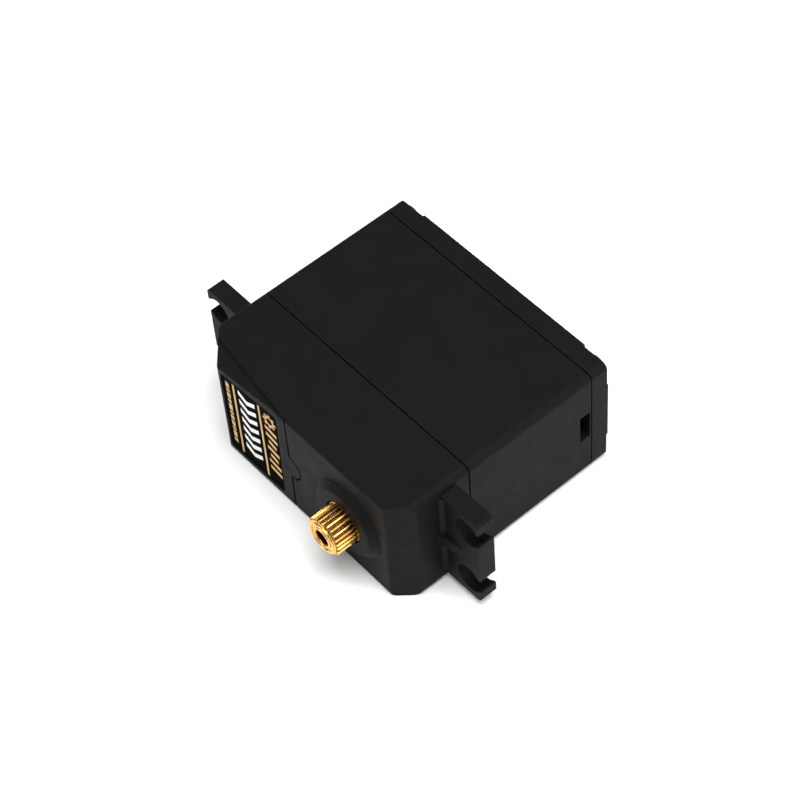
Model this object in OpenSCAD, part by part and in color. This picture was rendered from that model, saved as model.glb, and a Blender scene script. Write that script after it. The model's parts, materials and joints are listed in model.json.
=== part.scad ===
// Standard-size hobby servo motor: three-piece plastic case with mounting ears,
// brushed motor, four-stage gear train, ball-bearing output shaft with a 25-tooth
// spline, feedback potentiometer and control board.
// It lies on one broad side. +Z is up, +X points to the end nearest the output shaft,
// and the output spline points along -Y. The origin is the mouth of the screw hole in
// the end of the spline.

/* [Case] */
// Length of the case without the ears, mm
case_length = 40.4; // [38:0.1:42]
// Thickness between the two broad sides, mm
case_thickness = 19.2; // [18:0.1:21]
// Distance from the output axis to the near end of the case, mm
axis_to_end = 10.2; // [9.5:0.1:11]
// Height of the bottom cover, mm
cover_height = 3.1; // [2:0.1:5]
// Height of the joint between middle case and gear case, mm
deck_joint = 24.5; // [22:0.1:27]
// Height of the output face, mm
face_height = 36.3; // [34:0.1:40]
// Overall height to the end of the spline, mm
overall_height = 40.7; // [38:0.1:45]
// Rounding of the long case edges, mm
edge_radius = 1.0; // [0.5:0.1:2]
// Rounding of the edges of the output face, mm
face_rounding = 0.6; // [0.2:0.1:1.2]
// Width of the shadow gap at each case joint, mm
joint_gap = 0.22; // [0.05:0.01:0.4]
// Depth of that gap, mm
joint_depth = 0.5; // [0.2:0.1:0.8]
// Wall of the case, mm
wall = 1.4; // [1:0.1:2]
// Cut on the far corner of the output face, mm
far_chamfer = 4.4; // [2:0.1:6]
// Cut on the near corner of the output face, measured down the end wall, mm
near_chamfer = 3.0; // [1:0.1:5]
// Cut on the near corner of the output face, measured along the face, mm
near_chamfer_long = 2.65; // [1:0.05:5]
// Depth of the sloping flat at the far corner of the output face, mm
flat_depth = 2.0; // [0.5:0.1:2.5]
// Width of the sloping flat down the upper broad side at the far end, mm
flat_width = 2.8; // [1:0.1:4]

/* [Ears] */
// Overall length across both ears, mm
ear_span = 53.8; // [50:0.1:58]
// Width of the ears, mm
ear_width = 16.4; // [14:0.1:19]
// Thickness of the ears, mm
ear_thickness = 2.65; // [2:0.05:4]
// Height of the face of the ears nearest the cable end, mm
ear_height = 26.45; // [24:0.05:30]
// Hole spacing along the length of the case, mm
hole_pitch_long = 49.5; // [48:0.1:51]
// Hole spacing across the ears, mm
hole_pitch_wide = 10; // [9:0.1:11]
// Radius of the mounting holes, mm
hole_radius = 2.2; // [2:0.05:2.5]
// Width of the open mouth of each mounting hole, mm
mouth_width = 2.6; // [2:0.1:3.2]
// Length of the rib between the two holes of an ear, mm
rib_long = 4.0; // [2:0.1:6]
// Height of that rib at the case wall, mm
rib_high = 0.75; // [0.5:0.05:2]
// Width of that rib, mm
rib_wide = 1.7; // [1:0.1:2.5]
// Offset of the ears' ribs and of the groove's half-round step from the middle plane, mm
detail_offset = -0.5; // [-1:0.1:1]
// Size of the sloping fillet where an ear meets the end wall, mm
root_fillet = 0.5; // [0.2:0.1:1]

/* [Output] */
// Number of spline teeth
spline_teeth = 25; // [21:1:27]
// Outer radius of the spline, mm
spline_radius = 2.95; // [2.5:0.05:3.2]
// Length of the spline, mm
spline_length = 3.6; // [3:0.1:4.5]
// Radius of the screw hole in the spline, mm
screw_hole_radius = 1.25; // [1:0.05:1.5]
// Depth of the screw hole in the spline, mm
screw_hole_depth = 7; // [5:0.5:9]
// Radius of the raised boss around the output shaft, mm
boss_radius = 6.1; // [5.5:0.1:7]
// Height of the raised boss around the output shaft, mm
boss_height = 1.0; // [0.5:0.1:2]

/* [Gears] */
// Distance from the output axis to the gear pin, mm
pin_offset = 10; // [9.5:0.1:10.5]
// Distance from the gear pin to the motor axis, mm
motor_offset = 9; // [8.5:0.1:9.5]
// Radius of the gear pin, mm
pin_radius = 1.0; // [0.8:0.05:1.2]
// Radial running clearance of shafts in their holes, mm
run_gap = 0.03; // [0.01:0.01:0.1]
// Thinning of every tooth at the pitch circle, mm
backlash = 0.10; // [0.04:0.01:0.2]

/* [Motor] */
// Radius of the round sides of the motor can, mm
can_radius = 9.9; // [9:0.1:10.2]
// Distance between the flat sides of the motor can, mm
can_flats = 15.2; // [14:0.1:16]
// Radius of the motor shaft, mm
motor_shaft_radius = 0.75; // [0.5:0.05:1]
// Height of the open end of the motor can, mm
can_bottom = 6.0; // [5:0.1:8]
// Height of the closed end of the motor can, mm
can_top = 22.9; // [20:0.1:23]

/* [Potentiometer and board] */
// Radius of the potentiometer housing, mm
pot_radius = 6.2; // [5:0.1:7]
// Height of the upper side of the control board, mm
board_top = 3.3; // [3:0.1:4]
// Thickness of the control board, mm
board_thickness = 1.0; // [0.6:0.1:1.6]
// Length of the cable window across the case, mm
window_long = 5.0; // [4:0.1:6]
// Height of the cable window, mm
window_high = 1.75; // [1.5:0.05:3]

/* [Hidden] */
$fn = 48;
e = 0.01;
xn = axis_to_end;
xf = axis_to_end - case_length;
xc = (xn + xf) / 2;
ht = case_thickness / 2;
xp = -pin_offset;
xm = -pin_offset - motor_offset;
ear_top = ear_height + ear_thickness;
boss_top = face_height + boss_height;
roof = face_height - 1.3;
deck_low = deck_joint - 1.6;
screw_x = [xf + 2.1, xn - 2.1];
screw_y = ht - 2.1;
corner_size = 4.6;
corner_depth = 0.45;
head_radius = 1.6;
head_seat = 1.25;
a_low = deck_joint + 0.5;
a_high = a_low + 1.4;
b_low = a_high + 0.3;
b_high = b_low + 1.6;
c_low = b_high + 0.3;
c_high = c_low + 2.0;
d_low = c_high + 0.3;
d_high = d_low + 2.4;
ub_low = d_high + 0.3;
ub_high = ub_low + 3.0;
lb_low = deck_joint - 2.9;
lb_high = deck_joint + 0.1;
label_depth = 0.3;
label_corners = [[xf + 4.9, -8.6], [xc - 3.9, -8.3], [xc - 3.5, 8.1], [xf + 4.95, 6.9]];
flat_end = xc - 1.9;
flat_run = flat_end - xf - 2.0;
nx = -flat_width * flat_depth;
ny = flat_width * (flat_run - 2.5);
nh = flat_run * flat_depth;
flat_tilt = atan2(nh, sqrt(nx * nx + ny * ny));
flat_turn = atan2(-nx, ny);
wheel_shift = 0.35;

// The servo is drawn standing on its bottom cover and is then laid on its broad side.
module lay() {
  translate([0, overall_height, 0])
    rotate([90, 0, 0])
      children();
}

// Outline of the case in plan, with rounded corners.
module plan(x0, x1, w, r) {
  translate([x0 + r, -w / 2])
    square([x1 - x0 - 2 * r, w]);
  translate([x0, -w / 2 + r])
    square([x1 - x0, w - 2 * r]);
  for (x = [x0 + r, x1 - r], y = [-w / 2 + r, w / 2 - r])
    translate([x, y])
      circle(r);
}

// Straight block with rounded long edges.
module block(x0, x1, w, h0, h1, r) {
  translate([0, 0, h0])
    linear_extrude(h1 - h0)
      plan(x0, x1, w, r);
}

// Cylinder on an axis at x, y between two heights.
module rod(x, y, r, h0, h1) {
  translate([x, y, h0])
    cylinder(r = r, h = h1 - h0);
}

// Tube on an axis at x, y between two heights.
module tube(x, y, ro, ri, h0, h1) {
  difference() {
    rod(x, y, ro, h0, h1);
    rod(x, y, ri, h0 - 1, h1 + 1);
  }
}

// Box between two corners.
module bar(a, b) {
  translate(a)
    cube(b - a);
}

// Side profile in x and height, cut right across the case.
module across(points, w) {
  translate([0, w / 2, 0])
    rotate([90, 0, 0])
      linear_extrude(w)
        polygon(points);
}

// Places children at the four case screws.
module at_screws() {
  for (x = screw_x, y = [-screw_y, screw_y])
    translate([x, y, 0])
      children();
}

// Involute tooth: half angle in degrees at radius r.
function inv_deg(a) = tan(a) * 180 / PI - a;
function pitch_half(z, s) = 90 / z + 2 * s * tan(20) * 180 / PI / z;
function half_at(r, m, z, s, b) =
  let (rp = m * z / 2, rb = rp * cos(20), rr = max(r, rb))
  pitch_half(z, s) - b / 4 / rp * 180 / PI + inv_deg(20) - inv_deg(acos(rb / rr));
function tooth(m, z, s, b, ro, ri, n) =
  let (rb = m * z / 2 * cos(20), r0 = max(rb, ri))
  concat(
    rb > ri ? [[ri, -half_at(rb, m, z, s, b)]] : [],
    [for (i = [0:n]) let (r = r0 + (ro - r0) * i / n) [r, -half_at(r, m, z, s, b)]],
    [for (i = [n:-1:0]) let (r = r0 + (ro - r0) * i / n) [r, half_at(r, m, z, s, b)]],
    rb > ri ? [[ri, half_at(rb, m, z, s, b)]] : []
  );
function gear_outline(m, z, s, b, n, turn) =
  let (ro = m * (z / 2 + 1 + s), ri = m * (z / 2 - 1.25 + s), t = tooth(m, z, s, b, ro, ri, n))
  [for (k = [0:z - 1], p = t) let (a = turn + 360 * k / z + p[1]) [p[0] * cos(a), p[0] * sin(a)]];

// Spur gear on an axis at x, with a bore.
module gear(x, m, z, s, turn, h0, h1, bore, n) {
  translate([x, 0, h0])
    linear_extrude(h1 - h0)
      difference() {
        polygon(gear_outline(m, z, s, backlash, n, turn));
        circle(bore);
      }
}

// ---------------------------------------------------------------- case

// Convex outline through points, each corner rounded: discs and the strips between them.
module soft_outline(points, r) {
  n = len(points);
  // inner points, one radius in from both neighbouring sides
  inner = [for (i = [0:n - 1])
    let (p = points[i], u = unit(points[(i + n - 1) % n] - p), v = unit(points[(i + 1) % n] - p))
    p + (u + v) * r / norm_cross(u, v)];
  polygon(inner);
  for (i = [0:n - 1])
    let (p = inner[i], q = inner[(i + 1) % n], d = unit(q - p) * r) {
      translate(p)
        circle(r);
      let (o = [d[1], -d[0]])
        polygon([p - o / 2, q - o / 2, q + o, p + o]);
    }
}

function unit(v) = v / norm(v);
function norm_cross(u, v) = abs(u[0] * v[1] - u[1] * v[0]);

// Side profile of the gear case: both output-face corners are cut and softened.
module gear_profile() {
  across_shape()
    soft_outline([
      [xf, deck_joint - 3],
      [xn, deck_joint - 3],
      [xn, face_height - near_chamfer],
      [xn - near_chamfer_long, face_height],
      [xf + far_chamfer, face_height],
      [xf, face_height - far_chamfer]
    ], face_rounding);
}

// End profile of the case between two heights, edges rounded.
module end_profile(h0, h1, r) {
  translate([xf - 1, 0, (h0 + h1) / 2])
    rotate([90, 0, 90])
      linear_extrude(case_length + 2)
        plan(-ht, ht, h1 - h0, r);
}

// Side profile of a plain case part between two heights, edges rounded.
module side_profile(h0, h1, r) {
  translate([0, 20, (h0 + h1) / 2])
    rotate([90, 0, 0])
      linear_extrude(40)
        plan(xf, xn, h1 - h0, r);
}

module across_shape() {
  translate([0, 20, 0])
    rotate([90, 0, 0])
      linear_extrude(40)
        children();
}

// Shadow gap: a shallow step all round the case at a joint.
module joint_step(h0, h1) {
  difference() {
    block(xf - 1, xn + 1, case_thickness + 2, h0, h1, 0.2);
    block(xf + joint_depth, xn - joint_depth, case_thickness - 2 * joint_depth,
      h0 - 1, h1 + 1, edge_radius - joint_depth);
  }
}

// Everything beyond the sloping flat, or beyond a plane set in from it.
module flat_cut(inset = 0) {
  translate([flat_end, ht, face_height])
    rotate([flat_tilt, 0, flat_turn])
      translate([-30, -inset, -30])
        cube([60, 10 + inset, 60]);
}

// Low boss with a sloping side and a softened rim.
module boss() {
  rotate_extrude()
    polygon([
      [0, roof],
      [boss_radius, roof],
      [boss_radius, face_height + 0.12],
      [boss_radius - 0.7, boss_top - 0.18],
      [boss_radius - 0.85, boss_top - 0.06],
      [boss_radius - 1.05, boss_top],
      [0, boss_top]
    ]);
}

// Wedge along an ear at the end wall: width w across the case, run along the ear, rise up the wall.
module ear_wedge(s, w, run, rise) {
  wall_x = s < 0 ? xf : xn;
  translate([0, w / 2, 0])
    rotate([90, 0, 0])
      linear_extrude(w)
        polygon([
          [wall_x - s, ear_top - 0.5],
          [wall_x + s * run, ear_top - 0.5],
          [wall_x + s * run, ear_top],
          [wall_x, ear_top + rise],
          [wall_x - s, ear_top + rise]
        ]);
}

// Rib between the two holes of an ear, and the fillet at its root; s is -1 for the far ear, 1 for the near.
module ear_rib(s) {
  translate([0, detail_offset, 0])
    ear_wedge(s, rib_wide, rib_long, rib_high);
  ear_wedge(s, ear_width - 1, root_fillet, root_fillet);
}

module ear_plate() {
  translate([0, 0, ear_height])
    linear_extrude(ear_thickness)
      difference() {
        plan(xc - ear_span / 2, xc + ear_span / 2, ear_width, 0.5);
        for (s = [-1, 1], y = [-hole_pitch_wide / 2, hole_pitch_wide / 2]) {
          translate([xc + s * hole_pitch_long / 2, y])
            circle(hole_radius);
          translate([xc + s * (hole_pitch_long / 2 + 2.5), y])
            square([5, mouth_width], center = true);
        }
      }
}

module gear_cavity() {
  w = case_thickness - 2 * 1.2;
  difference() {
    intersection() {
      block(xf + wall, xn - wall, w, deck_joint - 1, roof, 0.6);
      across([
        [xf, deck_joint - 2],
        [xn, deck_joint - 2],
        [xn, face_height - near_chamfer - 1.7],
        [xn - near_chamfer - 1.7, face_height],
        [xf + far_chamfer + 1.7, face_height],
        [xf, face_height - far_chamfer - 1.7]
      ], 40);
    }
    flat_cut(1.1);
  }
}

// Fine groove beside the label, with a half-round step in the middle.
module groove() {
  g = 0.32;
  h0 = face_height - 0.3;
  step = 2.2;
  mid = detail_offset;
  bar([flat_end, mid + step - g, h0], [flat_end + g, ht + 1, face_height + 1]);
  bar([flat_end, -ht - 1, h0], [flat_end + g, mid + g - step, face_height + 1]);
  intersection() {
    tube(flat_end + g / 2, mid, step, step - g, h0, face_height + 1);
    bar([flat_end, mid - step - 1, h0], [flat_end + step + 1, mid + step + 1, face_height + 1]);
  }
}

// Points of a convex outline whose corners are rounded in n steps each.
function soft_points(points, r, n) = [
  for (i = [0:len(points) - 1])
    let (
      p = points[i],
      u = unit(points[(i + len(points) - 1) % len(points)] - p),
      v = unit(points[(i + 1) % len(points)] - p),
      c = p + (u + v) * r / norm_cross(u, v),
      start = atan2(u[0], -u[1]),
      turn = 180 - acos(u * v)
    )
    for (k = [0:n])
      c + r * [cos(start + turn * k / n), sin(start + turn * k / n)]
];

// Label outline, set in from the edge of its recess.
module label_outline(inset, r) {
  c = label_corners;
  polygon(soft_points([
    c[0] + [inset, inset],
    c[1] + [-inset, inset],
    c[2] + [-inset, -inset],
    c[3] + [inset, -inset]
  ], r, 6));
}

module gear_case() {
  color([0.09, 0.09, 0.09])
    lay()
      difference() {
        union() {
          difference() {
            intersection() {
              block(xf, xn, case_thickness, deck_joint, face_height, edge_radius);
              gear_profile();
              end_profile(deck_joint - 3, face_height, face_rounding);
            }
            flat_cut();
          }
          ear_plate();
          ear_rib(-1);
          ear_rib(1);
          boss();
        }
        difference() {
          gear_cavity();
          rod(0, 0, 5.5, ub_low + 0.1, face_height);
          stop_rib();
          at_screws()
            rod(0, 0, 2.3, deck_joint - 1, face_height);
          rod(xp, 0, 2.2, d_high + 1.6, face_height);
        }
        rod(0, 0, 5.0, deck_joint, ub_high);
        rod(0, 0, 4.15, deck_joint, ub_high + 0.15);
        rod(0, 0, spline_radius + 0.3, deck_joint, boss_top + 1);
        rod(xp, 0, pin_radius, deck_joint, roof + 0.7);
        at_screws()
          rod(0, 0, 1.0, deck_joint - 1, deck_joint + 8);
        translate([0, 0, face_height - label_depth])
          linear_extrude(2)
            label_outline(0, 0.7);
        groove();
      }
}

// Rib under the roof that stops the pin on the output gear at about 96 degrees each way.
module stop_rib() {
  difference() {
    tube(0, 0, 6.9, 5.4, ub_low + 0.1, face_height);
    rotate([0, 0, 78])
      bar([0, 0, 0], [20, 20, 50]);
    rotate([0, 0, 102])
      bar([0, 0, 0], [20, 20, 50]);
    rotate([0, 0, 168])
      bar([0, 0, 0], [20, 20, 50]);
    rotate([0, 0, 192])
      bar([0, 0, 0], [20, 20, 50]);
  }
}

// Motor bay: round sides with two flats, open towards the bottom cover.
module motor_bay() {
  intersection() {
    rod(xm, 0, can_radius + 0.1, cover_height - 1, can_top);
    block(xf, 0, can_flats + 0.2, cover_height - 1, can_top, 0.2);
  }
}

// Space for the board and the potentiometer.
module pot_bay() {
  x0 = xm + can_radius + 1.3;
  difference() {
    union() {
      block(xf + 1.15, xn - wall, case_thickness - 2.8, cover_height - 1, can_bottom - 0.6, 0.5);
      block(x0, xn - wall, case_thickness - 2.8, cover_height - 1, deck_low, 0.5);
    }
    at_screws()
      rod(0, 0, 2.2, cover_height - 2, deck_joint + 1);
    // shelf that carries the potentiometer
    difference() {
      block(x0 - 1, xn, case_thickness - 2, 16.0, 17.2, 0.5);
      rod(0, 0, 3.15, 15, 18);
    }
    // seat of the lower shaft bearing
    rod(0, 0, 5.0, lb_low - 0.7, deck_joint);
  }
}

module middle_case() {
  color([0.085, 0.085, 0.085])
    lay()
      difference() {
        block(xf, xn, case_thickness, cover_height, deck_joint, edge_radius);
        joint_step(cover_height - 1, cover_height + joint_gap);
        joint_step(deck_joint - joint_gap, deck_joint + 1);
        pot_bay();
        motor_bay();
        rod(0, 0, 4.0, lb_low, deck_joint + 1);
        rod(0, 0, 3.1, lb_low - 2, deck_joint + 1);
        rod(xp, 0, pin_radius, deck_low + 0.2, deck_joint + 1);
        rod(xm, 0, 3.0, can_top - 1, deck_joint + 1);
        for (y = [-5.5, 5.5])
          rod(xm, y, 0.85, can_top - 1, deck_joint + 1);
        at_screws()
          rod(0, 0, 1.15, cover_height - 1, deck_joint + 1);
        bar([xn - wall - 1, -window_long / 2, cover_height + 0.4],
          [xn + 1, window_long / 2, cover_height + 0.4 + window_high]);
      }
}

module bottom_cover() {
  color([0.09, 0.09, 0.09])
    lay()
      difference() {
        intersection() {
          block(xf, xn, case_thickness, 0, cover_height, edge_radius);
          end_profile(0, 10, 0.4);
          side_profile(0, 10, 0.4);
        }
        difference() {
          block(xf + wall, xn - wall, case_thickness - 2 * wall, 1.3, cover_height + 1, 0.5);
          at_screws()
            rod(0, 0, 2.2, 0, cover_height);
          for (x = [xm - 5, 4])
            bar([x, -4, 0], [x + 1.2, 4, board_top - board_thickness]);
        }
        for (x = [xf - 1, xn + 1 - (corner_size + 1)], y = [-ht - 1, ht + 1 - (corner_size + 1)])
          bar([x, y, -1], [x + corner_size + 1, y + corner_size + 1, corner_depth]);
        at_screws() {
          rod(0, 0, 1.15, -1, cover_height + 1);
          rod(0, 0, head_radius + 0.1, -1, head_seat);
        }
      }
}

// One long case screw with a pan head and a cross recess.
module case_screw(x, y) {
  color([0.35, 0.35, 0.36])
    lay()
      translate([x, y, 0])
        difference() {
          union() {
            rod(0, 0, 1.0, 0.5, deck_joint + 6.0);
            rod(0, 0, head_radius, 0.05, head_seat);
          }
          bar([-1.0, -0.2, -1], [1.0, 0.2, 0.7]);
          bar([-0.2, -1.0, -1], [0.2, 1.0, 0.7]);
        }
}

module case_screw_1() {
  case_screw(screw_x[0], -screw_y);
}

module case_screw_2() {
  case_screw(screw_x[0], screw_y);
}

module case_screw_3() {
  case_screw(screw_x[1], -screw_y);
}

module case_screw_4() {
  case_screw(screw_x[1], screw_y);
}

module label_plate() {
  color([0.03, 0.03, 0.03])
    lay()
      translate([0, 0, face_height - label_depth])
        linear_extrude(label_depth - 0.12)
          label_outline(0.05, 0.65);
}

module gear_pin() {
  color([0.7, 0.7, 0.72])
    lay()
      rod(xp, 0, pin_radius, deck_low + 0.2, roof + 0.7);
}

// ---------------------------------------------------------------- bearings

module race(ro, ri, rp, rb, h0, h1) {
  difference() {
    tube(0, 0, ro, ri, h0, h1);
    translate([0, 0, (h0 + h1) / 2])
      rotate_extrude()
        translate([rp, 0])
          circle(rb + run_gap, $fn = 24);
  }
}

module balls(rp, rb, count, h) {
  for (i = [0:count - 1])
    rotate([0, 0, 360 * i / count])
      translate([rp, 0, h])
        sphere(rb, $fn = 16);
}

// Snap cage: a thin ring beside the balls with one prong between each pair.
module cage(rp, w, rb, count, h, prong) {
  tube(0, 0, rp + w / 2, rp - w / 2, h + rb + 0.05, h + rb + 0.35);
  for (i = [0:count - 1])
    rotate([0, 0, 360 * (i + 0.5) / count])
      bar([rp - w / 2 + 0.05, -prong / 2, h - 0.3], [rp + w / 2 - 0.05, prong / 2, h + rb + 0.1]);
}

module output_bearing_outer() {
  color([0.75, 0.75, 0.77])
    lay()
      race(5.0, 4.35, 4.0, 0.6, ub_low, ub_high);
}

module output_bearing_inner() {
  color([0.75, 0.75, 0.77])
    lay()
      race(3.65, 3.0, 4.0, 0.6, ub_low, ub_high);
}

module output_bearing_balls() {
  color([0.8, 0.8, 0.82])
    lay()
      balls(4.0, 0.6, 9, (ub_low + ub_high) / 2);
}

module output_bearing_cage() {
  color([0.62, 0.5, 0.25])
    lay()
      cage(4.0, 0.4, 0.6, 9, (ub_low + ub_high) / 2, 1.0);
}

module shaft_bearing_outer() {
  color([0.75, 0.75, 0.77])
    lay()
      race(4.0, 3.25, 2.75, 0.8, lb_low, lb_high);
}

module shaft_bearing_inner() {
  color([0.75, 0.75, 0.77])
    lay()
      race(2.2, 1.5, 2.75, 0.8, lb_low, lb_high);
}

module shaft_bearing_balls() {
  color([0.8, 0.8, 0.82])
    lay()
      balls(2.75, 0.8, 7, (lb_low + lb_high) / 2);
}

module shaft_bearing_cage() {
  color([0.62, 0.5, 0.25])
    lay()
      cage(2.75, 0.5, 0.8, 7, (lb_low + lb_high) / 2, 0.45);
}

// ---------------------------------------------------------------- gears

module motor_pinion() {
  color([0.8, 0.64, 0.3])
    lay()
      gear(xm, 0.3, 10, wheel_shift, 0, a_low - 0.1, a_high + 0.1, motor_shaft_radius, 3);
}

module gear_1_wheel() {
  color([0.8, 0.64, 0.3])
    lay() {
      gear(xp, 0.3, 50, -wheel_shift, 3.6, a_low, a_high, pin_radius + run_gap, 1);
      tube(xp, 0, 1.9, pin_radius + run_gap, deck_joint + 0.05, a_low);
    }
}

module gear_1_pinion() {
  color([0.66, 0.66, 0.68])
    lay()
      gear(xp, 0.3, 14, 0.3446, 0, a_high, b_high + 0.1, pin_radius + run_gap, 2);
}

module gear_2_wheel() {
  color([0.8, 0.64, 0.3])
    lay() {
      gear(0, 0.3, 52, 0, 180 / 52, b_low, b_high, 1.5 + run_gap, 1);
      tube(0, 0, 1.95, 1.5 + run_gap, lb_high + 0.05, b_low);
    }
}

module gear_2_pinion() {
  color([0.66, 0.66, 0.68])
    lay()
      gear(0, 0.4, 13, 0.25, 0, b_high, c_high + 0.15, 1.5 + run_gap, 3);
}

module gear_3_wheel() {
  color([0.8, 0.64, 0.3])
    lay() {
      gear(xp, 0.4, 37, -0.25, 0, c_low, c_high, pin_radius + run_gap, 1);
      tube(xp, 0, 1.7, pin_radius + run_gap, b_high + 0.15, c_low);
    }
}

module gear_3_pinion() {
  color([0.66, 0.66, 0.68])
    lay() {
      gear(xp, 0.5, 10, wheel_shift, 0, c_high, d_high + 0.1, pin_radius + run_gap, 3);
      tube(xp, 0, 1.7, pin_radius + run_gap, d_high + 0.1, d_high + 1.5);
    }
}

module output_gear() {
  color([0.8, 0.64, 0.3])
    lay()
      gear(0, 0.5, 30, -wheel_shift, 6, d_low, d_high, 3.0, 2);
}

module stop_pin() {
  color([0.7, 0.7, 0.72])
    lay()
      rod(-6.1, 0, 0.5, d_high, d_high + 1.3);
}

// Half a spline tooth is a third of the pitch wide at the tip.
function spline_outline(n, ro, ri) = [
  for (k = [0:n - 1], q = [[ri, -0.38], [ro, -0.13], [ro, 0.13], [ri, 0.38]])
    let (a = 360 * (k + q[1]) / n) [q[0] * cos(a), q[0] * sin(a)]
];

module output_shaft() {
  top = overall_height;
  root = spline_radius - 0.33;
  color([0.83, 0.67, 0.35])
    lay()
      difference() {
        union() {
          rod(0, 0, 1.0, 18.6, 21);
          rod(0, 0, 1.5, 20.5, d_low);
          rod(0, 0, 3.0, d_low, top - spline_length);
          rod(0, 0, 3.5, d_high, ub_low);
          intersection() {
            translate([0, 0, top - spline_length - e])
              linear_extrude(spline_length + e)
                polygon(spline_outline(spline_teeth, spline_radius, root));
            union() {
              rod(0, 0, 4, 20, top - 0.45);
              translate([0, 0, top - 0.45])
                cylinder(r1 = spline_radius + 0.1, r2 = spline_radius - 0.35, h = 0.45);
            }
          }
        }
        rod(0, 0, screw_hole_radius, top - screw_hole_depth, top + 1);
      }
}

// ---------------------------------------------------------------- motor

module can_shape(r, f, h0, h1) {
  intersection() {
    rod(xm, 0, r, h0, h1);
    bar([xm - 20, -f / 2, h0], [xm + 20, f / 2, h1]);
  }
}

module motor_can() {
  color([0.68, 0.68, 0.7])
    lay()
      difference() {
        union() {
          can_shape(can_radius, can_flats, can_bottom, can_top);
          rod(xm, 0, 2.95, can_top, can_top + 1.2);
        }
        can_shape(can_radius - 0.8, can_flats - 1.6, can_bottom - 1, can_top - 0.8);
        rod(xm, 0, 2.0, can_top - 1, can_top + 2);
        for (y = [-5.5, 5.5])
          rod(xm, y, 0.8, can_top - 2, can_top + 1);
      }
}

module motor_end_cap() {
  color([0.9, 0.9, 0.86])
    lay()
      difference() {
        union() {
          can_shape(can_radius, can_flats, 4.5, can_bottom);
          can_shape(can_radius - 0.8, can_flats - 1.6, can_bottom, can_bottom + 0.8);
        }
        rod(xm, 0, 2.0, 4, can_bottom + 2);
        for (y = [-5, 5])
          bar([xm - 0.8, y - 0.2, 4], [xm + 0.8, y + 0.2, can_bottom + 2]);
      }
}

module motor_magnets() {
  color([0.25, 0.25, 0.27])
    lay()
      intersection() {
        tube(xm, 0, can_radius - 0.81, 6.95, 9.2, 18.2);
        union() {
          bar([xm - 12, -5.6, 9], [xm - 3, 5.6, 19]);
          bar([xm + 3, -5.6, 9], [xm + 12, 5.6, 19]);
        }
      }
}

module front_bushing() {
  color([0.72, 0.55, 0.3])
    lay()
      tube(xm, 0, 2.0, motor_shaft_radius + run_gap, can_top - 0.8, can_top + 1.2);
}

module rear_bushing() {
  color([0.72, 0.55, 0.3])
    lay()
      tube(xm, 0, 2.0, motor_shaft_radius + run_gap, 4.7, can_bottom + 0.2);
}

module motor_brushes() {
  color([0.75, 0.5, 0.3])
    lay()
      for (s = [-1, 1]) {
        translate([xm, 0, 0])
          rotate([0, 0, 90 - 90 * s]) {
            bar([1.95, -0.7, 7.6], [2.9, 0.7, 9.0]);
            bar([2.9, -0.9, 6.8], [3.15, 5.2, 9.2]);
          }
      }
}

module motor_terminals() {
  color([0.72, 0.6, 0.35])
    lay()
      for (y = [-5, 5])
        bar([xm - 0.8, y - 0.2, board_top - board_thickness - 0.3], [xm + 0.8, y + 0.2, can_bottom + 0.8]);
}

module motor_screws() {
  color([0.6, 0.6, 0.62])
    lay()
      for (y = [-5.5, 5.5])
        difference() {
          union() {
            rod(xm, y, 0.8, can_top - 0.8, deck_joint + 0.2);
            rod(xm, y, 1.5, deck_joint, deck_joint + 0.8);
          }
          bar([xm - 0.9, y - 0.18, deck_joint + 0.4], [xm + 0.9, y + 0.18, deck_joint + 2]);
        }
}

module motor_shaft() {
  color([0.72, 0.72, 0.74])
    lay()
      rod(xm, 0, motor_shaft_radius, 4.8, a_high + 0.6);
}

module armature_core() {
  color([0.5, 0.5, 0.52])
    lay()
      translate([xm, 0, 10.4])
        linear_extrude(6.4)
          difference() {
            union() {
              circle(2.4);
              difference() {
                circle(6.7);
                circle(5.6);
                for (i = [0:2])
                  rotate(60 + 120 * i)
                    translate([3, -0.7])
                      square([6, 1.4]);
              }
              for (i = [0:2])
                rotate(120 * i)
                  translate([1, -0.9])
                    square([5, 1.8]);
            }
            circle(motor_shaft_radius);
          }
}

module armature_windings() {
  color([0.72, 0.36, 0.16])
    lay()
      for (i = [0:2])
        translate([xm, 0, 0])
          rotate([0, 0, 120 * i])
            difference() {
              union() {
                bar([2.75, -1.75, 9.7], [4.9, 1.75, 17.8]);
                bar([3.8, -2.3, 9.9], [4.9, 2.3, 17.3]);
              }
              bar([0, -0.9, 10.4], [6, 0.9, 16.8]);
            }
}

module commutator() {
  color([0.75, 0.45, 0.25])
    lay()
      difference() {
        union() {
          tube(xm, 0, 1.9, motor_shaft_radius, 6.9, 9.2);
          tube(xm, 0, 2.2, motor_shaft_radius, 9.2, 9.6);
        }
        for (i = [0:2])
          translate([xm, 0, 0])
            rotate([0, 0, 60 + 120 * i])
              bar([1.6, -0.12, 6], [3, 0.12, 11]);
      }
}

// ---------------------------------------------------------------- potentiometer and board

module pot_housing() {
  color([0.2, 0.3, 0.2])
    lay()
      difference() {
        union() {
          rod(0, 0, pot_radius, 9.6, 16.0);
          rod(0, 0, 3.1, 16.0, 18.6);
        }
        rod(0, 0, pot_radius - 0.8, 10.4, 15.2);
        rod(0, 0, 1.9 + run_gap, 10, 20);
      }
}

module pot_track() {
  color([0.15, 0.12, 0.1])
    lay()
      difference() {
        tube(0, 0, 5.0, 3.4, 10.4, 10.7);
        bar([3, -1.2, 10], [8, 1.2, 12]);
      }
}

module pot_nut() {
  color([0.72, 0.72, 0.74])
    lay()
      difference() {
        rotate([0, 0, 30])
          translate([0, 0, 17.2])
            cylinder(r = 4.3, h = 1.2, $fn = 6);
        rod(0, 0, 3.1, 16, 20);
      }
}

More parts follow.
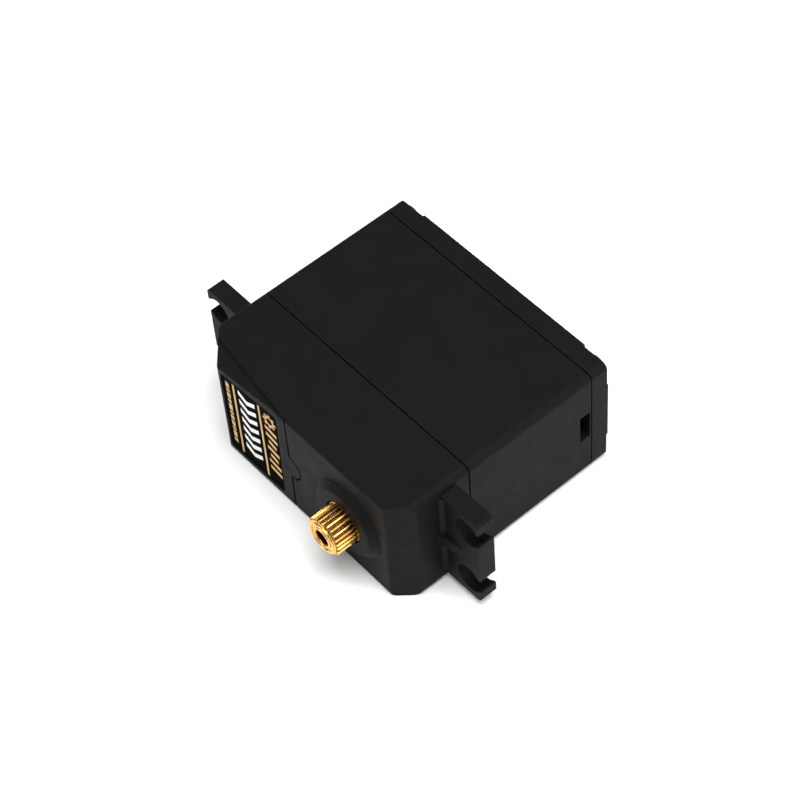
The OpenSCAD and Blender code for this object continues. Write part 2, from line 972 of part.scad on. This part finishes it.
module pot_pins() {
  color([0.78, 0.78, 0.78])
    lay()
      for (y = [-2.5, 0, 2.5])
        rod(3.0, y, 0.35, board_top - board_thickness - 0.4, 9.6);
}

module pot_shaft() {
  color([0.85, 0.85, 0.82])
    lay()
      difference() {
        union() {
          rod(0, 0, 1.9, 10.45, 20.4);
          rod(0, 0, 3.2, 12.6, 14.0);
        }
        rod(0, 0, 1.0, 18.6, 21);
      }
}

module pot_wiper() {
  color([0.85, 0.75, 0.45])
    lay() {
      tube(0, 0, 2.6, 1.9, 12.2, 12.6);
      bar([-4.6, -0.5, 12.2], [-2.2, 0.5, 12.5]);
      bar([-4.6, -0.5, 10.73], [-4.2, 0.5, 12.2]);
    }
}

module control_board() {
  color([0.1, 0.3, 0.14])
    lay()
      difference() {
        bar([xf + 4.6, -7.6, board_top - board_thickness], [xn - 4.6, 7.6, board_top]);
        for (y = [-5, 5])
          bar([xm - 0.85, y - 0.25, 0], [xm + 0.85, y + 0.25, 5]);
        for (y = [-2.5, 0, 2.5])
          rod(3.0, y, 0.4, 0, 5);
      }
}

module controller_chip() {
  color([0.06, 0.06, 0.07])
    lay()
      bar([-4.6, -2.4, board_top], [0.4, 2.4, board_top + 0.9]);
}

module driver_chips() {
  color([0.07, 0.07, 0.08])
    lay()
      for (y = [-5.6, 5.6])
        bar([-5.0, y - 1.5, board_top], [-1.2, y + 1.5, board_top + 0.9]);
}

module capacitor() {
  color([0.8, 0.62, 0.2])
    lay()
      bar([0.2, 4.4, board_top], [3.6, 6.6, board_top + 1.6]);
}

module small_parts() {
  color([0.62, 0.55, 0.45])
    lay()
      for (x = [0.6, 2.2], y = [-6.4, -4.6])
        bar([x, y, board_top], [x + 1.0, y + 0.6, board_top + 0.5]);
}

module cable_pads() {
  color([0.8, 0.8, 0.78])
    lay()
      for (y = [-1.8, 0, 1.8])
        bar([4.4, y - 0.6, board_top], [5.4, y + 0.6, board_top + 0.15]);
}

gear_case();
middle_case();
bottom_cover();
case_screw_1();
case_screw_2();
case_screw_3();
case_screw_4();
label_plate();
gear_pin();
output_bearing_outer();
output_bearing_inner();
output_bearing_balls();
output_bearing_cage();
shaft_bearing_outer();
shaft_bearing_inner();
shaft_bearing_balls();
shaft_bearing_cage();
motor_pinion();
gear_1_wheel();
gear_1_pinion();
gear_2_wheel();
gear_2_pinion();
gear_3_wheel();
gear_3_pinion();
output_gear();
stop_pin();
output_shaft();
motor_can();
motor_end_cap();
motor_magnets();
front_bushing();
rear_bushing();
motor_brushes();
motor_terminals();
motor_screws();
motor_shaft();
armature_core();
armature_windings();
commutator();
pot_housing();
pot_track();
pot_nut();
pot_pins();
pot_shaft();
pot_wiper();
control_board();
controller_chip();
driver_chips();
capacitor();
small_parts();
cable_pads();
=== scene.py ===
"""Looks for a standard-size hobby servo motor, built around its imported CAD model.

Every length is in metres, in the frame of the CAD: the servo lies on one broad side, +Z is up,
+X points to the end nearest the output shaft, and the output spline points along -Y.
"""

import json
import math

import bmesh
import bpy
from mathutils import Matrix, Vector


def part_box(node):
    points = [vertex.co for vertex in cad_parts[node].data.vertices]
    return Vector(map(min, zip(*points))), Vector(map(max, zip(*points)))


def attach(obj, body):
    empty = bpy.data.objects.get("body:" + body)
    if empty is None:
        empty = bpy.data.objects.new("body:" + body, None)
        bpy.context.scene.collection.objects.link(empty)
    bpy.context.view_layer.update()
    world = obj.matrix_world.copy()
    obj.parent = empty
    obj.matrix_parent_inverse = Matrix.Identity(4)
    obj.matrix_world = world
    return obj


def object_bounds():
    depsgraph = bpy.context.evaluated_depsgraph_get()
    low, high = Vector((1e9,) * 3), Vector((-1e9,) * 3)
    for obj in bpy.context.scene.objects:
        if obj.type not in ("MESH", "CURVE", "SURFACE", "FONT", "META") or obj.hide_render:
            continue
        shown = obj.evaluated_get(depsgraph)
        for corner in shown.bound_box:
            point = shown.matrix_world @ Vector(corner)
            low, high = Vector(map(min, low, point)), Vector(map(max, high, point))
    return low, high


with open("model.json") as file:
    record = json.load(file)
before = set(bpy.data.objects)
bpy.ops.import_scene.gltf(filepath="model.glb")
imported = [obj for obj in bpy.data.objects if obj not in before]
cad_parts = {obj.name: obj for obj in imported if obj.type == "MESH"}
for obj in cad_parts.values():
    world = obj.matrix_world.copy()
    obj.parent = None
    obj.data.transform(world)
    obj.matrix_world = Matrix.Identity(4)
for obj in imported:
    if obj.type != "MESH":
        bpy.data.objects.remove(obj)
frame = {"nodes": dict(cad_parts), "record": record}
cad_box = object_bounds()

MM = 0.001
scene = bpy.context.scene
scene.view_settings.view_transform = "Standard"
scene.view_settings.look = "None"


# ---------------------------------------------------------------- material nodes


COAT_ROUGHNESS = 0.2
BEVEL_SAMPLES = 8
# cosine of the angle between the true and the rounded normal, on an edge and just off it
ON_EDGE, OFF_EDGE = 0.80, 0.995


class Surface:
    """A Principled material built from nodes, with pattern coordinates in metres."""

    def __init__(self, name, metallic=0.0, specular=0.5, coat=0.0):
        self.material = bpy.data.materials.new(name)
        self.material.use_nodes = True
        self.tree = self.material.node_tree
        self.tree.nodes.clear()
        out = self.node("OutputMaterial")
        self.shader = self.node("BsdfPrincipled")
        self.tree.links.new(self.shader.outputs[0], out.inputs[0])
        self.shader.inputs["Metallic"].default_value = metallic
        self.shader.inputs["Specular IOR Level"].default_value = specular
        self.shader.inputs["Coat Weight"].default_value = coat
        self.shader.inputs["Coat Roughness"].default_value = COAT_ROUGHNESS
        self.place = self.node("TexCoord").outputs["Object"]

    def node(self, kind):
        return self.tree.nodes.new("ShaderNode" + kind)

    def link(self, source, target):
        self.tree.links.new(source, target)

    def stretched(self, stretch):
        """The coordinates scaled along each axis, for brushed marks."""
        mapping = self.node("Mapping")
        mapping.inputs["Scale"].default_value = stretch
        self.link(self.place, mapping.inputs["Vector"])
        return mapping.outputs[0]

    def along(self, axis):
        """The coordinate along X, Y or Z."""
        split = self.node("SeparateXYZ")
        self.link(self.place, split.inputs[0])
        return split.outputs[axis]

    def projected(self, direction):
        """The coordinate along any unit direction."""
        dot = self.node("VectorMath")
        dot.operation = "DOT_PRODUCT"
        dot.inputs[1].default_value = direction
        self.link(self.place, dot.inputs[0])
        return dot.outputs["Value"]

    def radius(self):
        """The distance from the Y axis, which is the axis of the output shaft."""
        flat = self.node("VectorMath")
        flat.operation = "MULTIPLY"
        flat.inputs[1].default_value = (1, 0, 1)
        self.link(self.place, flat.inputs[0])
        length = self.node("VectorMath")
        length.operation = "LENGTH"
        self.link(flat.outputs[0], length.inputs[0])
        return length.outputs["Value"]

    def noise(self, size, detail=2.0, place=None):
        """Noise with features of about this size."""
        n = self.node("TexNoise")
        n.inputs["Scale"].default_value = 1.0 / size
        n.inputs["Detail"].default_value = detail
        self.link(place or self.place, n.inputs["Vector"])
        return n.outputs["Fac"]

    def waves(self, pitch, axis, kind, distort=0.0):
        """Bands or rings with this pitch along or around an axis."""
        n = self.node("TexWave")
        n.wave_type = kind
        if kind == "BANDS":
            n.bands_direction = axis
        else:
            n.rings_direction = axis
        pitch_at_scale_1 = math.pi / 10
        n.inputs["Scale"].default_value = pitch_at_scale_1 / pitch
        n.inputs["Distortion"].default_value = distort
        self.link(self.place, n.inputs["Vector"])
        return n.outputs["Fac"]

    def spread(self, value, low, high, start=0.3, end=0.7):
        """Maps a value between start and end to a range; the defaults suit noise."""
        n = self.node("MapRange")
        n.inputs["From Min"].default_value = start
        n.inputs["From Max"].default_value = end
        n.inputs["To Min"].default_value = low
        n.inputs["To Max"].default_value = high
        self.link(value, n.inputs["Value"])
        return n.outputs[0]

    def mix(self, factor, first, second):
        """Mixes two colours, each a triple or a socket."""
        n = self.node("Mix")
        n.data_type = "RGBA"
        self.link(factor, n.inputs["Factor"])
        for side, colour in (("A", first), ("B", second)):
            target = [s for s in n.inputs if s.name == side and s.type == "RGBA"][0]
            if isinstance(colour, tuple):
                target.default_value = (*colour, 1.0)
            else:
                self.link(colour, target)
        return [s for s in n.outputs if s.type == "RGBA"][0]

    def maths(self, operation, first, second=0.0, clamp=True):
        """One operation on numbers or sockets, whose result clamp holds between 0 and 1."""
        n = self.node("Math")
        n.operation = operation
        n.use_clamp = clamp
        for i, value in enumerate((first, second)):
            if isinstance(value, (int, float)):
                n.inputs[i].default_value = value
            else:
                self.link(value, n.inputs[i])
        return n.outputs[0]

    def soft_edges(self, radius):
        """The normal with its edges rounded by this radius, and how near an edge a point is."""
        bevel = self.node("Bevel")
        bevel.samples = BEVEL_SAMPLES
        bevel.inputs["Radius"].default_value = radius
        plain = self.node("NewGeometry").outputs["Normal"]
        dot = self.node("VectorMath")
        dot.operation = "DOT_PRODUCT"
        self.link(bevel.outputs[0], dot.inputs[0])
        self.link(plain, dot.inputs[1])
        near = self.spread(dot.outputs["Value"], 1.0, 0.0, ON_EDGE, OFF_EDGE)
        return bevel.outputs[0], near

    def bump(self, height, depth, normal=None, strength=1.0):
        """A bump of this depth on top of a normal; returns the new normal."""
        n = self.node("Bump")
        n.inputs["Strength"].default_value = strength
        n.inputs["Distance"].default_value = depth
        self.link(height, n.inputs["Height"])
        if normal is not None:
            self.link(normal, n.inputs["Normal"])
        return n.outputs[0]

    def finish(self, colour, rough, normal):
        """Links the three varying inputs and returns the finished material."""
        self.link(colour, self.shader.inputs["Base Color"])
        self.link(rough, self.shader.inputs["Roughness"])
        self.link(normal, self.shader.inputs["Normal"])
        return self.material


# ---------------------------------------------------------------- kinds of finish


def grey(level):
    return (level, level, level)


def brighter(colour, times):
    return tuple(min(1.0, channel * times) for channel in colour)


# the colour of a soft line of painted shade along the edge of a fold
FOLD_SHADE_BLACK = grey(0.0008)


def painted_fold_shade_mask(s, across, offset, level, half_width):
    """A soft line of painted shade: 1 where the coordinate along across equals offset, fading to
    0 at half_width to either side, and only above a level of Z."""
    away = s.maths("SUBTRACT", s.projected(across), offset, clamp=False)
    distance = s.maths("ABSOLUTE", away)
    fade = 0.1 * MM
    above = s.spread(s.along("Z"), 0, 1, level - fade, level)
    return s.maths("MULTIPLY", s.spread(distance, 1, 0, 0.0, half_width), above)


def grained_plastic(name, dark, light, worn, rough, grain, depth, edge, specular, fold_shade=None):
    """Moulded plastic with a fine spark-eroded grain and lightly rubbed edges.

    The last argument, if given, holds the arguments of the soft-line mask above, for a dark line
    of painted shade along the edge of a fold.
    """
    s = Surface(name, specular=specular)
    rounded, near = s.soft_edges(edge)
    mottle = s.spread(s.noise(6 * MM), 0, 1)
    patchy = s.spread(s.noise(0.5 * MM, 3), 0.35, 0.9)
    colour = s.mix(s.maths("MULTIPLY", near, patchy), s.mix(mottle, dark, light), worn)
    # painted shade: a soft dark line along the edge of a fold, where the surface turns
    if fold_shade:
        colour = s.mix(painted_fold_shade_mask(s, **fold_shade), colour, FOLD_SHADE_BLACK)
    fine = s.noise(grain, 3)
    smear = s.spread(s.noise(2.5 * MM, 3), -0.04, 0.04)
    roughness = s.maths("ADD", s.spread(fine, rough - 0.05, rough + 0.05), smear)
    pitted = s.bump(fine, depth, rounded)
    wavy = s.bump(s.noise(4 * MM), 12 * depth, pitted, 0.5)
    return s.finish(colour, roughness, wavy)


def worked_metal(name, dark, light, rough, pattern, depth, edge=0.08 * MM):
    """Metal with turned rings, drawn lines, a rolled surface, stacked sheets or wound wire."""
    s = Surface(name, metallic=1.0)
    rounded, near = s.soft_edges(edge)
    lines = {
        "turned": lambda: s.waves(0.09 * MM, "Y", "RINGS", 1.5),
        "drawn": lambda: s.noise(0.05 * MM, 3, s.stretched((1, 0.04, 1))),
        "rolled": lambda: s.noise(0.12 * MM, 4),
        "stacked": lambda: s.waves(0.35 * MM, "Y", "BANDS", 0.4),
        "wound": lambda: s.waves(0.22 * MM, "X", "BANDS", 1.0),
    }[pattern]()
    stain = s.spread(s.noise(1.6 * MM, 4), 0, 1)
    tint = s.mix(stain, dark, light)
    colour = s.mix(s.maths("MULTIPLY", near, 0.5), tint, brighter(light, 1.12))
    roughness = s.spread(lines, rough - 0.06, rough + 0.08)
    return s.finish(colour, roughness, s.bump(lines, depth, rounded, 0.6))


def splined_brass(name, root_shade, tooth, worn, rough, inner, outer, end):
    """Hobbed brass with painted shade in the tooth roots, inside the inner radius; the crests,
    outside the outer one, and the end face at y = end keep the brass colour."""
    s = Surface(name, metallic=1.0)
    rounded, near = s.soft_edges(0.045 * MM)
    crest = s.spread(s.radius(), 0, 1, inner, outer)
    end_face = s.spread(s.along("Y"), 1, 0, end + 0.03 * MM, end + 0.12 * MM)
    clear_of_root_shade = s.maths("MAXIMUM", crest, end_face)
    stain = s.spread(s.noise(0.9 * MM, 4), 0, 1)
    # painted shade: the tooth roots are darkened towards a dark brown, the crests and the end
    # face are left clear
    tint = s.mix(clear_of_root_shade, root_shade, s.mix(stain, tooth, brighter(tooth, 1.15)))
    colour = s.mix(s.maths("MULTIPLY", near, 0.85), tint, worn)
    hob_lines = s.noise(0.05 * MM, 3, s.stretched((1, 0.06, 1)))
    facing_rings = s.waves(0.07 * MM, "Y", "RINGS", 0.4)
    roughness = s.spread(hob_lines, rough - 0.05, rough + 0.07)
    hobbed = s.bump(hob_lines, 0.0015 * MM, rounded, 0.6)
    return s.finish(colour, roughness, s.bump(facing_rings, 0.0008 * MM, hobbed, 0.5))


def smooth_plastic(name, dark, light, rough, grain, depth, specular=0.4):
    """Smooth moulded plastic, ceramic, film or ink, with faint mottling."""
    s = Surface(name, specular=specular)
    rounded, _ = s.soft_edges(0.06 * MM)
    colour = s.mix(s.spread(s.noise(1.2 * MM, 3), 0, 1), dark, light)
    fine = s.noise(grain, 2)
    roughness = s.spread(fine, rough - 0.05, rough + 0.06)
    return s.finish(colour, roughness, s.bump(fine, depth, rounded, 0.5))


def circuit_board(name):
    """Green solder mask over copper tracks that run both ways."""
    s = Surface(name, specular=0.5, coat=0.4)
    rounded, _ = s.soft_edges(0.05 * MM)
    across = s.waves(0.8 * MM, "X", "BANDS", 2.0)
    along = s.waves(1.1 * MM, "Z", "BANDS", 2.5)
    tracks = s.spread(s.maths("MAXIMUM", across, along), 0, 1, 0.82, 0.9)
    colour = s.mix(tracks, (0.008, 0.085, 0.03), (0.02, 0.16, 0.05))
    roughness = s.spread(s.noise(0.2 * MM, 2), 0.3, 0.42)
    return s.finish(colour, roughness, s.bump(tracks, 0.02 * MM, rounded, 0.6))


def matt_floor(name):
    """Pale matt card."""
    s = Surface(name, specular=0.2)
    colour = s.mix(s.spread(s.noise(20 * MM, 3), 0, 1), grey(0.92), grey(0.94))
    fine = s.noise(0.4 * MM, 2)
    return s.finish(colour, s.spread(fine, 0.75, 0.85), s.bump(fine, 0.01 * MM, None, 0.3))


# ---------------------------------------------------------------- the servo's finishes


BLACK_PLASTIC = dict(
    dark=(0.0056, 0.0056, 0.0057),
    light=(0.0066, 0.0066, 0.0067),
    worn=(0.020, 0.020, 0.021),
    rough=0.56,
    grain=0.11 * MM,
    depth=0.006 * MM,
    edge=0.16 * MM,
    specular=0.065,
)

FINISHES = {
    "case_plastic": grained_plastic("moulded_black_plastic", **BLACK_PLASTIC),
    "label_film": smooth_plastic(
        "black_label_film",
        dark=grey(0.0006),
        light=grey(0.0012),
        rough=0.5,
        grain=0.3 * MM,
        depth=0.004 * MM,
        specular=0.004,
    ),
    "screw_steel": worked_metal(
        "blackened_screw_steel",
        dark=grey(0.10),
        light=grey(0.20),
        rough=0.38,
        pattern="turned",
        depth=0.003 * MM,
    ),
    "pin_steel": worked_metal(
        "ground_pin_steel",
        dark=grey(0.50),
        light=grey(0.62),
        rough=0.20,
        pattern="turned",
        depth=0.002 * MM,
    ),
    "bearing_steel": worked_metal(
        "bearing_steel",
        dark=(0.48, 0.48, 0.50),
        light=(0.62, 0.62, 0.64),
        rough=0.16,
        pattern="turned",
        depth=0.001 * MM,
    ),
    "cage_brass": worked_metal(
        "pressed_cage_brass",
        dark=(0.60, 0.42, 0.16),
        light=(0.74, 0.54, 0.24),
        rough=0.30,
        pattern="rolled",
        depth=0.003 * MM,
    ),
    "brass": worked_metal(
        "machined_brass",
        dark=(0.60, 0.33, 0.085),
        light=(0.76, 0.45, 0.13),
        rough=0.27,
        pattern="turned",
        depth=0.0012 * MM,
        edge=0.04 * MM,
    ),
    "gear_steel": worked_metal(
        "sintered_gear_steel",
        dark=(0.33, 0.33, 0.34),
        light=(0.45, 0.45, 0.46),
        rough=0.34,
        pattern="rolled",
        depth=0.004 * MM,
    ),
    "can_steel": worked_metal(
        "drawn_can_steel",
        dark=(0.42, 0.42, 0.43),
        light=(0.55, 0.55, 0.56),
        rough=0.28,
        pattern="drawn",
        depth=0.003 * MM,
    ),
    "motor_plastic": smooth_plastic(
        "ivory_motor_plastic",
        dark=(0.62, 0.58, 0.48),
        light=(0.72, 0.68, 0.57),
        rough=0.45,
        grain=0.2 * MM,
        depth=0.004 * MM,
    ),
    "magnet": smooth_plastic(
        "ferrite_magnet",
        dark=(0.045, 0.045, 0.050),
        light=(0.080, 0.080, 0.085),
        rough=0.60,
        grain=0.1 * MM,
        depth=0.010 * MM,
    ),
    "bronze": worked_metal(
        "sintered_bronze",
        dark=(0.42, 0.25, 0.12),
        light=(0.56, 0.36, 0.18),
        rough=0.42,
        pattern="rolled",
        depth=0.006 * MM,
    ),
    "core_steel": worked_metal(
        "laminated_core_steel",
        dark=(0.28, 0.28, 0.30),
        light=(0.40, 0.40, 0.42),
        rough=0.40,
        pattern="stacked",
        depth=0.020 * MM,
    ),
    "copper": worked_metal(
        "enamelled_copper_wire",
        dark=(0.55, 0.20, 0.07),
        light=(0.75, 0.32, 0.12),
        rough=0.28,
        pattern="wound",
        depth=0.050 * MM,
    ),
    "pot_plastic": smooth_plastic(
        "phenolic_pot_housing",
        dark=(0.030, 0.050, 0.090),
        light=(0.045, 0.070, 0.120),
        rough=0.42,
        grain=0.15 * MM,
        depth=0.005 * MM,
    ),
    "track": smooth_plastic(
        "carbon_track",
        dark=grey(0.012),
        light=grey(0.022),
        rough=0.35,
        grain=0.08 * MM,
        depth=0.003 * MM,
    ),
    "pin_tin": worked_metal(
        "tinned_pins",
        dark=(0.60, 0.60, 0.58),
        light=(0.74, 0.74, 0.72),
        rough=0.30,
        pattern="drawn",
        depth=0.002 * MM,
    ),
    "pot_shaft_plastic": smooth_plastic(
        "white_pot_shaft",
        dark=(0.66, 0.66, 0.64),
        light=(0.78, 0.78, 0.76),
        rough=0.45,
        grain=0.2 * MM,
        depth=0.004 * MM,
    ),
    "board_green": circuit_board("green_circuit_board"),
    "chip_black": smooth_plastic(
        "chip_epoxy",
        dark=(0.016, 0.016, 0.017),
        light=(0.028, 0.028, 0.030),
        rough=0.50,
        grain=0.07 * MM,
        depth=0.004 * MM,
    ),
    "capacitor_tan": smooth_plastic(
        "capacitor_ceramic",
        dark=(0.36, 0.23, 0.10),
        light=(0.46, 0.31, 0.15),
        rough=0.40,
        grain=0.1 * MM,
        depth=0.004 * MM,
    ),
}

SPLINE_BRASS = splined_brass(
    "hobbed_spline_brass",
    # the colour of the painted shade in the tooth roots
    root_shade=(0.09, 0.03, 0.008),
    tooth=(0.80, 0.45, 0.105),
    worn=(1.0, 0.80, 0.42),
    rough=0.24,
    inner=2.70 * MM,
    outer=2.88 * MM,
    end=min(v.co.y for v in frame["nodes"]["output_shaft"].data.vertices),
)

RING_BRASS = worked_metal(
    "turned_ring_brass",
    dark=(0.72, 0.42, 0.11),
    light=(0.86, 0.54, 0.17),
    rough=0.22,
    pattern="turned",
    depth=0.001 * MM,
    edge=0.03 * MM,
)

# A line of painted shade on the upper broad side, standing in for the shading of the fold beside
# the edge of the corner's sloping flat. It was placed by the photograph, and lies 0.1 to 0.5 mm
# from the modelled edge.
FLAT_FOLD_SHADE = dict(
    across=(0.1435, 0.9896, 0.0),
    offset=2.63 * MM,
    level=9.0 * MM,
    half_width=0.30 * MM,
)
# the case plastic with the line of painted shade along the sloping flat, for the gear case
FOLD_SHADED_PLASTIC = grained_plastic("fold_shaded_black_plastic", **BLACK_PLASTIC, fold_shade=FLAT_FOLD_SHADE)

# nodes whose finish differs from the rest of their material slot
SPECIAL = {"output_shaft": SPLINE_BRASS, "gear_case": FOLD_SHADED_PLASTIC}
SLOT_OF = {part["node"]: part["material_slot"] for part in frame["record"]["subparts"]}

for name, obj in frame["nodes"].items():
    finish = SPECIAL.get(name) or FINISHES[SLOT_OF[name]]
    if not obj.material_slots:
        obj.data.materials.append(finish)
    for slot in obj.material_slots:
        slot.link = "OBJECT"
        slot.material = finish


# ---------------------------------------------------------------- new pieces


def new_piece(name, bm, finish):
    """Turns a bmesh into an object with this finish, and frees the bmesh."""
    mesh = bpy.data.meshes.new(name)
    bm.to_mesh(mesh)
    bm.free()
    mesh.materials.append(finish)
    piece = bpy.data.objects.new(name, mesh)
    scene.collection.objects.link(piece)
    return piece


# ---------------------------------------------------------------- printed label


GOLD = smooth_plastic(
    "gold_print",
    dark=(0.55, 0.30, 0.065),
    light=(0.70, 0.42, 0.11),
    rough=0.34,
    grain=0.1 * MM,
    depth=0.002 * MM,
    specular=0.5,
)
WHITE = smooth_plastic(
    "white_print",
    dark=(0.80, 0.80, 0.78),
    light=(0.88, 0.88, 0.86),
    rough=0.40,
    grain=0.1 * MM,
    depth=0.002 * MM,
    specular=0.4,
)
INK = 0.03 * MM

label_low, label_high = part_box("label_plate")
label_face = label_low.y
label_slant = 1.2 * MM  # the far end of the label's upper edge is this much lower
first_stripe = label_low.x + 2.45 * MM
second_stripe = label_low.x + 7.8 * MM


def label_top(x):
    """The height of the label's slanted upper edge at x."""
    share = (label_high.x - x) / (label_high.x - label_low.x)
    return label_high.z - label_slant * share


def printed(name, outlines, finish):
    """Thin raised ink shapes on the label. Outlines are lists of (x, z) corners."""
    bm = bmesh.new()
    for outline in outlines:
        low = [bm.verts.new((x, label_face + 0.5 * INK, z)) for x, z in outline]
        top = [bm.verts.new((x, label_face - INK, z)) for x, z in outline]
        bm.faces.new(top)
        bm.faces.new(low[::-1])
        for i in range(len(outline)):
            k = (i + 1) % len(outline)
            bm.faces.new((low[i], low[k], top[k], top[i]))
    bmesh.ops.recalc_face_normals(bm, faces=bm.faces)
    piece = new_piece(name, bm, finish)
    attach(piece, "case")


def bar(x0, x1, z0, z1, slant=0.0):
    """A straight or slanted bar; slant shifts its -X side along Z."""
    return [(x0, z0 + slant), (x1, z0), (x1, z1), (x0, z1 + slant)]


def stripes():
    """Two thin rules up the label."""
    half = 0.19 * MM
    return [
        bar(x - half, x + half, label_low.z + 0.6 * MM, label_top(x) - 0.5 * MM)
        for x in (first_stripe, second_stripe)
    ]


def dashes():
    """A column of short dashes of uneven length beside the first stripe."""
    x0, x1 = label_low.x + 0.75 * MM, label_low.x + 1.45 * MM
    lengths_in_mm = (1.1, 0.5, 0.9, 0.6, 1.3, 0.5, 0.8, 1.0, 0.5, 1.2, 0.7)
    gap, slant = 0.36 * MM, 0.12 * MM
    z = label_top(label_low.x) - 1.0 * MM
    outlines = []
    for length in lengths_in_mm:
        outlines.append(bar(x0, x1, z - length * MM, z, slant))
        z -= length * MM + gap
    return outlines


def arrows():
    """Seven broad arrows down the middle, between the stripes."""
    x0, x1 = first_stripe + 1.0 * MM, second_stripe - 0.9 * MM
    xm = (first_stripe + second_stripe) / 2
    thick, point, pitch = 0.84 * MM, 0.9 * MM, 1.86 * MM
    outlines = []
    for i in range(7):
        top = label_top(xm) - 0.95 * MM - i * pitch
        upper = [(x0, top), (xm, top - point), (x1, top)]
        lower = [(x, z - thick) for x, z in reversed(upper)]
        outlines.append(upper + lower)
    return outlines


def sign():
    """A small gear with slanted bars beneath it, beside the second stripe."""
    cx = (second_stripe + label_high.x) / 2 + 0.1 * MM
    cz = label_top(second_stripe) - 2.0 * MM
    teeth = 8
    # a share of the rim, then a tooth: each a half angle in degrees and two radii in mm
    tooth_shapes = ((22.5, 0.6, 0.95), (11, 0.95, 1.3))
    outlines = []
    for k in range(teeth):
        turn = 2 * math.pi * k / teeth
        for half_angle, r0, r1 in tooth_shapes:
            a0, a1 = turn - math.radians(half_angle), turn + math.radians(half_angle)
            am = (a0 + a1) / 2
            ring = [(r0, a0), (r1, a0), (r1, am), (r1, a1), (r0, a1), (r0, am)]
            outlines.append(
                [(cx + r * MM * math.cos(a), cz + r * MM * math.sin(a)) for r, a in ring]
            )
    widths_in_mm = (2.3, 2.3, 1.5, 2.3, 1.5, 2.3, 2.3)
    first_bar, pitch, thick, slant = 2.1 * MM, 1.45 * MM, 0.62 * MM, 0.5 * MM
    for i, width in enumerate(widths_in_mm):
        top = cz - first_bar - i * pitch
        outlines.append(bar(cx - width / 2 * MM, cx + width / 2 * MM, top - thick, top, slant))
    return outlines


printed("label_stripes", stripes(), GOLD)
printed("label_dashes", dashes(), GOLD)
printed("label_arrows", arrows(), WHITE)
printed("label_sign", sign(), GOLD)


# ---------------------------------------------------------------- ridges on the shaft's end


shaft_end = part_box("output_shaft")[0].y
ridge_height = 0.20 * MM
ridge_chamfer = 0.08 * MM
ridge_foot = 0.02 * MM  # how far a ridge reaches into the shaft
ridge_steps = 72


def turned_ridge(name, inner, outer, body):
    """A low chamfered ring about the output axis, between two radii."""
    foot = shaft_end + ridge_foot
    top = shaft_end - ridge_height
    profile = [
        (inner, foot),
        (inner, top + ridge_chamfer),
        (inner + ridge_chamfer, top),
        (outer - ridge_chamfer, top),
        (outer, top + ridge_chamfer),
        (outer, foot),
    ]
    bm = bmesh.new()
    rows = []
    for k in range(ridge_steps):
        turn = 2 * math.pi * k / ridge_steps
        x, z = math.cos(turn), math.sin(turn)
        rows.append([bm.verts.new((r * x, y, r * z)) for r, y in profile])
    for k in range(ridge_steps):
        here, there = rows[k], rows[(k + 1) % ridge_steps]
        for i in range(len(profile)):
            n = (i + 1) % len(profile)
            bm.faces.new((here[i], here[n], there[n], there[i]))
    bmesh.ops.recalc_face_normals(bm, faces=bm.faces)
    piece = new_piece(name, bm, RING_BRASS)
    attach(piece, body)


turned_ridge("screw_hole_ridge", 1.32 * MM, 1.66 * MM, "output")
turned_ridge("end_face_ridge", 2.02 * MM, 2.36 * MM, "output")


# ---------------------------------------------------------------- studio


FLOOR_SIZE = 3.0
FLOOR_GAP = 0.02 * MM  # between the floor and the servo's lower broad side


def build_floor():
    """A flat pale floor under the servo."""
    bm = bmesh.new()
    bmesh.ops.create_grid(bm, x_segments=8, y_segments=8, size=FLOOR_SIZE / 2)
    floor = new_piece("studio_floor", bm, matt_floor("pale_floor"))
    floor.location = (0, 0, cad_box[0].z - FLOOR_GAP)


def soft_light(name, place, size, power):
    """A square soft box that faces the servo."""
    servo_centre = Vector((-0.01, 0.02, 0.0))
    data = bpy.data.lights.new(name, "AREA")
    data.shape = "SQUARE"
    data.size = size
    data.energy = power
    light = bpy.data.objects.new(name, data)
    scene.collection.objects.link(light)
    light.location = place
    light.rotation_mode = "QUATERNION"
    light.rotation_quaternion = (servo_centre - Vector(place)).to_track_quat("-Z", "Y")


build_floor()
soft_light("top_box", place=(0.18, -0.02, 1.0), size=0.80, power=14.5)
soft_light("right_box", place=(0.80, 0.45, 0.35), size=0.40, power=3.0)
soft_light("front_box", place=(-0.50, -0.80, 0.35), size=0.40, power=1.6)

world = bpy.data.worlds.new("studio_air")
world.use_nodes = True
background = world.node_tree.nodes["Background"]
background.inputs["Color"].default_value = (1.0, 1.0, 1.0, 1.0)
background.inputs["Strength"].default_value = 0.32
scene.world = world


# ---------------------------------------------------------------- camera


# the viewpoint of the photograph
camera_data = bpy.data.cameras.new("camera")
camera_data.lens = 112.8
camera_data.sensor_width = 36.0
camera_data.clip_start = 0.01
camera_data.clip_end = 20.0
camera = bpy.data.objects.new("camera", camera_data)
scene.collection.objects.link(camera)
right = Vector((0.6562311, 0.75250884, -0.05559855))
up = Vector((-0.57017433, 0.54278718, 0.61667116))
placement = Matrix((right, up, right.cross(up))).transposed().to_4x4()
placement.translation = (0.15403, -0.10195, 0.26051)
camera.matrix_world = placement
scene.camera = camera
